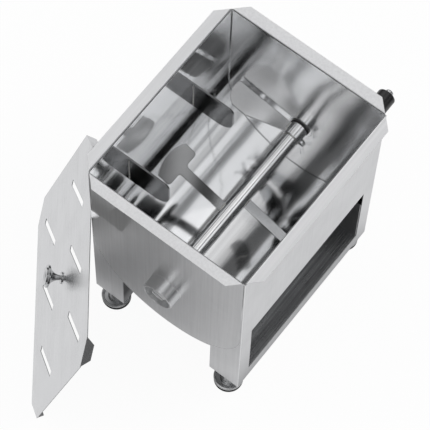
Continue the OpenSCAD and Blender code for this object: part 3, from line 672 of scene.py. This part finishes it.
@dataclass
class MeshWork:
    """Builds the small pieces that the solids leave out."""

    finishes: Finishes
    steps_a_ripple: int = 4
    bead_low: float = 0.78
    bead_swell: float = 0.22
    bead_end: float = 0.6
    thread_steps: int = 20
    ridge_half: float = 0.42

    def place(self, name: str, work: bmesh.types.BMesh, body: str, finish: Finish, slot: str
              ) -> bpy.types.Object:
        """Turns a bmesh into a piece that rides on a body.

        Args:
            name: The piece's name.
            work: Its mesh, in the row frame.
            body: The CAD body that it rides on.
            finish: What it wears.
            slot: Not used.

        Returns:
            The piece.
        """
        mesh = bpy.data.meshes.new(name)
        bmesh.ops.recalc_face_normals(work, faces=work.faces)
        work.to_mesh(mesh)
        work.free()
        for face in mesh.polygons:
            face.use_smooth = True
        piece = bpy.data.objects.new(name, mesh)
        bpy.context.scene.collection.objects.link(piece)
        mesh.materials.append(self.finishes.of(finish))
        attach(piece, body)
        LOG.info("%s rides on %s", name, body)
        return piece

    def tube(self, work: bmesh.types.BMesh, path: list[Vector], radii: list[float],
             closed: bool = False, sides: int = 8) -> None:
        """Adds a tube along a path to a mesh, with a radius for each point.

        Args:
            work: The mesh that takes the tube.
            path: Its middle line.
            radii: One radius for each point of the path.
            closed: Whether the last point joins the first.
            sides: How many sides the tube has.
        """
        count = len(path)
        rings = []
        normal = None
        for index, point in enumerate(path):
            before = path[index - 1] if index or closed else path[0]
            after = path[(index + 1) % count] if index < count - 1 or closed else path[-1]
            ahead = (after - before).normalized()
            if normal is None:
                normal = ahead.orthogonal().normalized()
            normal = (normal - ahead * normal.dot(ahead)).normalized()
            side = ahead.cross(normal)
            ring = []
            for step in range(sides):
                angle = FULL_TURN * step / sides
                reach = normal * math.cos(angle) + side * math.sin(angle)
                ring.append(work.verts.new(point + reach * radii[index]))
            rings.append(ring)
        spans = count if closed else count - 1
        for index in range(spans):
            a, b = rings[index], rings[(index + 1) % count]
            for step in range(sides):
                after = (step + 1) % sides
                work.faces.new((a[step], a[after], b[after], b[step]))
        if not closed:
            work.faces.new(rings[0])
            work.faces.new(list(reversed(rings[-1])))

    def weld(self, work: bmesh.types.BMesh, corners: list[Vector], radius: float,
             closed: bool = False, ripple: float = 0.0018) -> None:
        """Adds a weld bead with its ripples along a line of points.

        Args:
            work: The mesh that takes the bead.
            corners: The line that it follows.
            radius: The bead's radius.
            closed: Whether it runs round to its start.
            ripple: The distance from one ripple to the next.
        """
        line = corners + [corners[0]] if closed else corners
        path: list[Vector] = []
        radii: list[float] = []
        run = 0.0
        for start, end in zip(line, line[1:]):
            length = (end - start).length
            steps = max(1, round(length / (ripple / self.steps_a_ripple)))
            for step in range(steps):
                path.append(start.lerp(end, step / steps))
                swell = abs(math.sin(math.pi * (run + length * step / steps) / ripple))
                radii.append(radius * (self.bead_low + self.bead_swell * swell))
            run += length
        if not closed:
            path.append(line[-1])
            radii.append(radius * self.bead_end)
            radii[0] = radius * self.bead_end
        self.tube(work, path, radii, closed=closed)

    def thread(self, work: bmesh.types.BMesh, foot: Vector, ahead: Vector, root: float,
               crest: float, pitch: float, length: float) -> None:
        """Adds a screw thread: one helical ridge round an axis.

        Args:
            work: The mesh that takes the thread.
            foot: The start of the thread on its axis.
            ahead: The direction of the axis.
            root: The radius at the foot of the ridge.
            crest: The radius at its top.
            pitch: The advance in one turn.
            length: The thread's length along the axis.
        """
        ahead = ahead.normalized()
        first = ahead.orthogonal().normalized()
        second = ahead.cross(first)
        rows = []
        for step in range(int(self.thread_steps * length / pitch) + 1):
            angle = FULL_TURN * step / self.thread_steps
            out = first * math.cos(angle) + second * math.sin(angle)
            middle = foot + ahead * (pitch * step / self.thread_steps)
            rows.append([
                work.verts.new(middle + out * root - ahead * pitch * self.ridge_half),
                work.verts.new(middle + out * crest),
                work.verts.new(middle + out * root + ahead * pitch * self.ridge_half),
            ])
        for a, b in zip(rows, rows[1:]):
            for step in range(len(a)):
                after = (step + 1) % len(a)
                work.faces.new((a[step], b[step], b[after], a[after]))
        work.faces.new(rows[0])
        work.faces.new(list(reversed(rows[-1])))


def ring_points(y: float, radius: float, count: int = 72) -> list[Vector]:
    """Points round the shaft's axis.

    Args:
        y: The ring's place along the shaft.
        radius: Its radius.
        count: How many points it has.

    Returns:
        The points, in order.
    """
    turns = (FULL_TURN * step / count for step in range(count))
    return [Vector((radius * math.cos(a), y, SHAFT_Z + radius * math.sin(a))) for a in turns]


@dataclass
class Assembly:
    """A sub-assembly: what its solids wear, and the small pieces that work builds for it."""

    work: MeshWork

    WEARS: ClassVar[tuple[tuple, ...]] = ()

    def build(self) -> None:
        """Dresses the solids, then adds the small pieces."""
        for finish, *nodes in self.WEARS:
            self.work.finishes.dress(finish, *nodes)
        self.add_pieces()

    def add_pieces(self) -> None:
        """Adds nothing where the solids are enough."""


@dataclass
class Tank(Assembly):
    """The welded sheet-steel tank, its hubs, bushes and baffles."""

    half_width: float = 0.125
    half_depth: float = 0.150
    sheet: float = 0.001
    hub_radius: float = 0.024
    rear_hub_radius: float = 0.019
    seam_radius: float = 0.0011
    seam_drop: float = 0.004
    seam_steps: int = 48
    seam_sides: int = 10
    ring_radius: float = 0.0012
    baffle_y: float = 0.070
    baffle_thick: float = 0.0025
    baffle_low: float = 0.263
    baffle_high: float = 0.329
    baffle_weld_radius: float = 0.0011
    baffle_weld_gap: float = 0.004

    WEARS = (
        (Finishes.SHEET, "front_wall", "rear_wall"),
        (Finishes.SIDE, "left_wall", "right_wall", "left_rail", "right_rail"),
        (Finishes.TROUGH, "hopper"),
        (Finishes.SHELF, "base_shelf"),
        (Finishes.BAFFLE, "baffle_front", "baffle_rear"),
        (Finishes.TURNED, "front_hub", "rear_hub"),
        (Finishes.BUSH, "front_bush", "rear_bush"),
        (Finishes.RUBBER, "rear_seal"),
        (Finishes.BOLT, "leg_nuts"),
    )

    def hopper_line(self, y: float) -> list[Vector]:
        """The U of the hopper at one end.

        Args:
            y: The place of the end.

        Returns:
            Its points, from rim to rim.
        """
        top = RIM_Z - self.seam_drop
        line = [Vector((-self.half_width, y, top))]
        for step in range(self.seam_steps + 1):
            angle = math.pi + math.pi * step / self.seam_steps
            x = self.half_width * math.cos(angle)
            line.append(Vector((x, y, SHAFT_Z + self.half_width * math.sin(angle))))
        line.append(Vector((self.half_width, y, top)))
        return line

    def build_seams(self) -> None:
        """Ground welds between the hopper and the end walls, and rings round the hubs."""
        seams = bmesh.new()
        for y in (-self.half_depth, self.half_depth):
            line = self.hopper_line(y)
            self.work.tube(seams, line, [self.seam_radius] * len(line), sides=self.seam_sides)
        self.work.place("hopper_end_seams", seams, "tank", Finishes.MIRROR, "polished")
        rings = bmesh.new()
        outer = self.half_depth + self.sheet
        for y, radius in ((-outer, self.hub_radius), (outer, self.rear_hub_radius)):
            line = ring_points(y, radius)
            radii = [self.ring_radius] * len(line)
            self.work.tube(rings, line, radii, closed=True, sides=self.seam_sides)
        self.work.place("hub_weld_rings", rings, "tank", Finishes.TURNED, "polished")

    def build_baffle_welds(self) -> None:
        """Welds down both faces of each baffle."""
        welds = bmesh.new()
        heights = (self.baffle_low + self.baffle_weld_gap, self.baffle_high - self.baffle_weld_gap)
        for middle in (-self.baffle_y, self.baffle_y):
            for face in (-1, 1):
                y = middle + face * self.baffle_thick / 2
                line = [Vector((-self.half_width, y, z)) for z in heights]
                self.work.weld(welds, line, self.baffle_weld_radius)
        self.work.place("baffle_welds", welds, "tank", Finishes.WELD, "polished")

    def add_pieces(self) -> None:
        """Adds the tank's welds."""
        self.build_seams()
        self.build_baffle_welds()


@dataclass
class PaddleShaft(Assembly):
    """The shaft with its two head paddles, two end blades and coupling sleeve."""

    shaft_radius: float = 0.011
    sleeve_radius: float = 0.0135
    plate: float = 0.003
    paddle_rise: float = 23.0
    paddle_ends: Span = (0.0075, 0.0205)
    blade_rise: float = 12.0
    blade_ends: Span = (0.1315, 0.1455)
    weld_radius: float = 0.0016
    sleeve_front: float = 0.1268
    sleeve_weld_gap: float = 0.0003
    sleeve_weld_radius: float = 0.0009
    sleeve_ripple: float = 0.0022

    WEARS = (
        (Finishes.SHAFT, "paddle_shaft", "coupling_sleeve"),
        (Finishes.PADDLE, "paddle_left", "paddle_right"),
        (Finishes.WIPER, "wiper_rear", "wiper_front"),
        (Finishes.DRIVE, "drive_end"),
        (Finishes.BOLT, "shaft_clip"),
    )

    def root_line(self, angle: float, radius: float, face: int, ends: Span) -> list[Vector]:
        """The line where one face of a plate meets the round that it is welded to.

        Args:
            angle: The plate's angle round the shaft, in degrees.
            radius: The radius of the round.
            face: Which face of the plate, 1 or -1.
            ends: Where the weld starts and ends along the shaft.

        Returns:
            The two ends of the line.
        """
        turn = math.radians(angle)
        out = Vector((math.cos(turn), 0.0, math.sin(turn)))
        up = Vector((-math.sin(turn), 0.0, math.cos(turn)))
        half = self.plate / 2
        reach = math.sqrt(radius * radius - half * half)
        foot = Vector((0.0, 0.0, SHAFT_Z)) + out * reach + up * (half * face)
        return [foot + Vector((0.0, y, 0.0)) for y in ends]

    def build_welds(self) -> None:
        """Welds along both faces of every plate."""
        welds = bmesh.new()
        plates = (
            (180 - self.paddle_rise, self.shaft_radius, tuple(-y for y in self.paddle_ends[::-1])),
            (-self.paddle_rise, self.shaft_radius, self.paddle_ends),
            (180 - self.blade_rise, self.sleeve_radius, self.blade_ends),
            (-self.blade_rise, self.shaft_radius, tuple(-y for y in self.blade_ends[::-1])),
        )
        for angle, radius, ends in plates:
            for face in (-1, 1):
                self.work.weld(welds, self.root_line(angle, radius, face, ends), self.weld_radius)
        self.work.place("paddle_welds", welds, "agitator", Finishes.WELD, "polished")

    def build_sleeve_weld(self) -> None:
        """The ring weld where the sleeve joins the shaft."""
        ring = bmesh.new()
        points = ring_points(self.sleeve_front, self.shaft_radius + self.sleeve_weld_gap)
        self.work.weld(ring, points, self.sleeve_weld_radius, closed=True, ripple=self.sleeve_ripple)
        self.work.place("sleeve_weld", ring, "agitator", Finishes.WELD, "polished")

    def add_pieces(self) -> None:
        """Adds the shaft's welds."""
        self.build_welds()
        self.build_sleeve_weld()


@dataclass
class Crank(Assembly):
    """The crank with its spindle, arm, grip bolt and turning grip."""

    WEARS = (
        (Finishes.MIRROR, "crank_spindle", "crank_spacer", "grip_cap", "grip_bolt"),
        (Finishes.PADDLE, "crank_arm"),
        (Finishes.BOLT, "crank_washer", "crank_nut", "grip_washer"),
        (Finishes.GRIP, "grip"),
    )


@dataclass
class WingScrew(Assembly):
    """The wing screw that clamps the crank's spindle."""

    WEARS = ((Finishes.WING, "wing_screw"),)


@dataclass
class Feet(Assembly):
    """The four levelling feet."""

    stud_radius: float = 0.004
    thread_low: float = 0.0166
    thread_high: float = 0.0305
    pitch: float = 0.00125
    ridge_sink: float = 0.0001
    ridge_rise: float = 0.00035

    WEARS = (
        (Finishes.RUBBER, *("foot_sole_" + tag for tag in FEET)),
        (Finishes.CUP, *("foot_cup_" + tag for tag in FEET)),
        (Finishes.BOLT, *(stem + tag for stem in ("foot_stud_", "foot_nut_") for tag in FEET)),
    )

    def add_pieces(self) -> None:
        """Threads the stretch of each stud that shows."""
        for tag, (side_x, side_y) in FEET.items():
            thread = bmesh.new()
            foot = Vector((side_x * FOOT_X, side_y * FOOT_Y, self.thread_low))
            self.work.thread(thread, foot, Vector(UP), self.stud_radius - self.ridge_sink,
                             self.stud_radius + self.ridge_rise, self.pitch,
                             self.thread_high - self.thread_low)
            self.work.place("stud_thread_" + tag, thread, "foot_" + tag, Finishes.BOLT, "fastener")


@dataclass
class Lid(Assembly):
    """The loose lid with its knob."""

    WEARS = (
        (Finishes.LID, "lid_plate"),
        (Finishes.KNOB, "lid_knob"),
        (Finishes.BOLT, "lid_screw"),
    )


@dataclass(frozen=True)
class Lamp:
    """A soft square lamp: where it hangs, the length of its side and its power in watts."""

    name: str
    place: Place
    side: float
    power: float


@dataclass
class Studio:
    """The pale floor, the dark cards, the soft sky and the lamps.

    The floor's and the sky's dark fields show only in the steel. Each fade is the stretch
    over which a field starts or ends.
    """

    floor_size: float = 14.0
    floor_drop: float = 0.0002
    paper: Colour = (0.86, 0.86, 0.86)
    floor_light: Colour = (0.92, 0.92, 0.93)
    floor_dark: Colour = (0.04, 0.04, 0.042)
    shown_share: float = 0.95
    front_fade: Span = (-0.2, -0.1)
    lid_foot: Place = (-0.177, -0.229, 0.0)
    lid_front: Place = (-0.794, -0.607, 0.0)
    lid_fade: Span = (-0.02, 0.0)
    right_fade: Span = (-0.2, 0.2)
    right_shade: Span = (1.0, 0.35)
    under_edges: tuple[tuple[str, float], ...] = (("X", 0.14), ("Y", 0.17))
    under_soft: float = 0.03
    under_shade: float = 0.9
    far_fade: Span = (0.7, 1.3)

    flag_corners: tuple[Place, ...] = (
        (-0.0907, -0.3357, 0.01), (-0.2323, -0.152, 0.01),
        (-0.0644, -0.152, 0.415), (0.0144, -0.2553, 0.415),
        (-0.18, -0.205, 0.3), (-0.18, -0.152, 0.3),
        (-0.075, -0.152, 0.3), (-0.075, -0.205, 0.3))
    flag_faces: tuple[tuple[int, ...], ...] = ((0, 1, 2, 3), (4, 5, 6, 7))
    flag_weave: Clouds = Clouds(400.0)
    weave_span: Span = (0.3, 0.7)
    weave_tones: Span = (0.12, 0.16)

    # Degrees of lean from straight up towards +X, each with the sky's tone there.
    sky_stops: tuple[Span, ...] = (
        (-90, 0.5), (-62, 0.55), (-52, 1.05), (-38, 1.0), (-28, 1.1), (-22, 0.45), (-14, 0.6),
        (-9, 0.75), (-4, 0.65), (1, 0.85), (16, 1.05), (22, 0.4), (27, 0.1), (48, 0.12),
        (54, 1.15), (60, 0.5), (90, 0.5))
    sky_blue: float = 1.01
    sky_plain: Colour = (0.62, 0.625, 0.635)
    front_sky: Span = (-0.45, 0.1)
    front_tones: Span = (0.9, 1.0)
    low_sky: Span = (0.2, 0.55)
    low_tones: Span = (0.12, 1.0)

    lamps: tuple[Lamp, ...] = (
        Lamp("key_lamp", (1.2, 1.0, 2.6), 1.4, 26.0),
        Lamp("fill_lamp", (-1.6, -1.2, 1.8), 1.6, 9.0))
    lamp_aim: Place = (0.0, 0.0, 0.2)

    def add_card(self, name: str, corners: list[Place], faces: list[tuple[int, ...]],
                 cover: str) -> tuple[bpy.types.Object, ShaderTree, Socket]:
        """Adds flat faces with an empty material.

        Args:
            name: The object's name.
            corners: Its points.
            faces: Its faces, as numbers of points.
            cover: The material's name.

        Returns:
            The object, its material's tree and the input for the surface.
        """
        mesh = bpy.data.meshes.new(name)
        mesh.from_pydata(corners, [], faces)
        card = bpy.data.objects.new(name, mesh)
        bpy.context.scene.collection.objects.link(card)
        material = bpy.data.materials.new(cover)
        material.use_nodes = True
        mesh.materials.append(material)
        nodes = material.node_tree.nodes
        nodes.remove(nodes["Principled BSDF"])
        surface = nodes["Material Output"].inputs["Surface"]
        return card, ShaderTree(material.node_tree), surface

    def floor_tone(self, tree: ShaderTree) -> Socket:
        """The floor as the steel mirrors it: dark behind the lid, under the tank and far off.

        Args:
            tree: The floor material's tree.

        Returns:
            The colour.
        """
        place = tree.add("ShaderNodeTexCoord").outputs["Object"]
        axes = tree.add("ShaderNodeSeparateXYZ", {0: place}).outputs
        from_lid = tree.vector("SUBTRACT", place, self.lid_foot).outputs[0]
        past_lid = tree.vector("DOT_PRODUCT", from_lid, self.lid_front).outputs["Value"]
        behind_lid = tree.product(
            tree.spread(past_lid, self.lid_fade, FALLING),
            tree.spread(axes["X"], self.right_fade, self.right_shade),
            tree.spread(axes["Y"], self.front_fade, FALLING))
        under = tree.product(*(
            tree.spread(tree.math("ABSOLUTE", axes[way]),
                        (edge - self.under_soft, edge + self.under_soft), FALLING)
            for way, edge in self.under_edges))
        under = tree.product(under, self.under_shade)
        far = tree.spread(tree.vector("LENGTH", place).outputs["Value"], self.far_fade)
        shade = tree.math("MAXIMUM", tree.math("MAXIMUM", behind_lid, under), far)
        return tree.blend(shade, self.floor_light, self.floor_dark)

    def build_floor(self) -> None:
        """A pale floor that shows white to the camera and keeps a soft shadow."""
        half = self.floor_size / 2
        corners = [(x, y, -self.floor_drop)
                   for x, y in ((-half, -half), (half, -half), (half, half), (-half, half))]
        floor, tree, surface = self.add_card("studio_floor", corners, [(0, 1, 2, 3)], "floor_paper")
        rays = tree.add("ShaderNodeLightPath").outputs
        shown = tree.add("ShaderNodeBsdfDiffuse", {"Color": self.paper}).outputs[0]
        for ray, colour in (("Is Camera Ray", WHITE), ("Is Glossy Ray", self.floor_tone(tree))):
            glow = tree.add("ShaderNodeEmission", {"Color": colour, "Strength": 1.0}).outputs[0]
            share = tree.product(rays[ray], self.shown_share)
            shown = tree.add("ShaderNodeMixShader", {0: share, 1: shown, 2: glow}).outputs[0]
        tree.put(surface, shown)

    def build_flag(self) -> None:
        """Dark cards behind and above the lid, which the front wall mirrors in its place."""
        flag, tree, surface = self.add_card(
            "studio_flag", list(self.flag_corners), list(self.flag_faces), "flag_cloth")
        flag.visible_camera = False
        flag.visible_diffuse = False
        flag.visible_shadow = False
        place = tree.add("ShaderNodeTexCoord").outputs["Object"]
        weave = tree.noise(place, self.flag_weave)
        tone = tree.spread(weave, self.weave_span, self.weave_tones)
        tree.put(surface, tree.add(
            "ShaderNodeEmission", {"Color": WHITE, "Strength": tone}).outputs[0])

    def build_sky(self) -> None:
        """A soft sky: white to the camera, with light and dark fields for the steel."""
        world = bpy.data.worlds.new("studio_sky")
        bpy.context.scene.world = world
        world.use_nodes = True
        tree = ShaderTree(world.node_tree)
        background = world.node_tree.nodes["Background"].inputs
        rays = tree.add("ShaderNodeLightPath").outputs
        way = tree.add("ShaderNodeTexCoord").outputs["Generated"]
        axes = tree.add("ShaderNodeSeparateXYZ", {0: way}).outputs
        lean = tree.math("ARCTAN2", axes["X"], axes["Z"])
        ramp = tree.add("ShaderNodeValToRGB", {0: tree.spread(lean, (-math.pi / 2, math.pi / 2))})
        elements = ramp.color_ramp.elements
        while len(elements) < len(self.sky_stops):
            elements.new(0.5)
        for element, (degrees, tone) in zip(elements, self.sky_stops):
            element.position = (degrees + 90) / 180
            element.color = (tone, tone, tone * self.sky_blue, 1.0)
        fields = tree.vector("SCALE", ramp.outputs[0])
        tree.put(fields.inputs["Scale"], tree.product(
            tree.spread(axes["Y"], self.front_sky, self.front_tones),
            tree.spread(axes["Z"], self.low_sky, self.low_tones)))
        plain = tree.blend(rays["Is Glossy Ray"], self.sky_plain, fields.outputs[0])
        tree.put(background["Color"], tree.blend(rays["Is Camera Ray"], plain, WHITE))
        background["Strength"].default_value = 1.0

    def build_lamp(self, lamp: Lamp) -> None:
        """Hangs a lamp that faces the mixer and doesn't show in the steel.

        Args:
            lamp: The lamp.
        """
        light = bpy.data.lights.new(lamp.name, "AREA")
        light.size = lamp.side
        light.energy = lamp.power
        hung = bpy.data.objects.new(lamp.name, light)
        hung.location = lamp.place
        aim = Vector(self.lamp_aim) - Vector(lamp.place)
        hung.rotation_euler = aim.to_track_quat("-Z", "Y").to_euler()
        bpy.context.scene.collection.objects.link(hung)
        hung.visible_glossy = False

    def build(self) -> None:
        """Builds the floor, the cards, the sky and the lamps, and sets plain colours."""
        self.build_floor()
        self.build_flag()
        self.build_sky()
        for lamp in self.lamps:
            self.build_lamp(lamp)
        bpy.context.scene.view_settings.view_transform = "Standard"


@dataclass
class PhotoCamera:
    """The camera at the photograph's view, from lines fitted to the rim and the legs."""

    azimuth: float = 35.42
    elevation: float = 66.66
    roll: float = 2.44
    focal_px: float = 2386.45
    image_px: float = 430.0
    sensor: float = 36.0
    right: float = 0.02989
    down: float = -0.09292
    away: float = 3.06958
    farthest: float = 60.0

    def build(self) -> bpy.types.Object:
        """Places the camera and makes it the scene's.

        Returns:
            The camera.
        """
        az, el, roll = (math.radians(part) for part in (self.azimuth, self.elevation, self.roll))
        back = Vector((math.cos(el) * math.sin(az), -math.cos(el) * math.cos(az), math.sin(el)))
        level = Vector((math.cos(az), math.sin(az), 0.0))
        upright = back.cross(level)
        side = level * math.cos(roll) + upright * math.sin(roll)
        up = upright * math.cos(roll) - level * math.sin(roll)
        place = Vector((0.0, 0.0, RIM_Z)) - side * self.right + up * self.down + back * self.away
        data = bpy.data.cameras.new("photo_camera")
        data.sensor_width = self.sensor
        data.lens = self.focal_px / self.image_px * self.sensor
        data.clip_end = self.farthest
        camera = bpy.data.objects.new("photo_camera", data)
        turn = Matrix((side, up, back)).transposed()
        camera.matrix_world = Matrix.Translation(place) @ turn.to_4x4()
        bpy.context.scene.collection.objects.link(camera)
        bpy.context.scene.camera = camera
        return camera


def main() -> None:
    """Builds the picture: camera, studio, then each sub-assembly of the mixer."""
    logging.basicConfig(level=logging.INFO, format="%(message)s")
    PhotoCamera().build()
    Studio().build()
    work = MeshWork(Finishes(EffectShop()))
    for assembly in (Tank, PaddleShaft, Crank, WingScrew, Feet, Lid):
        assembly(work).build()
        LOG.info("%s is dressed", assembly.__name__)


if __name__ == "__main__":
    main()
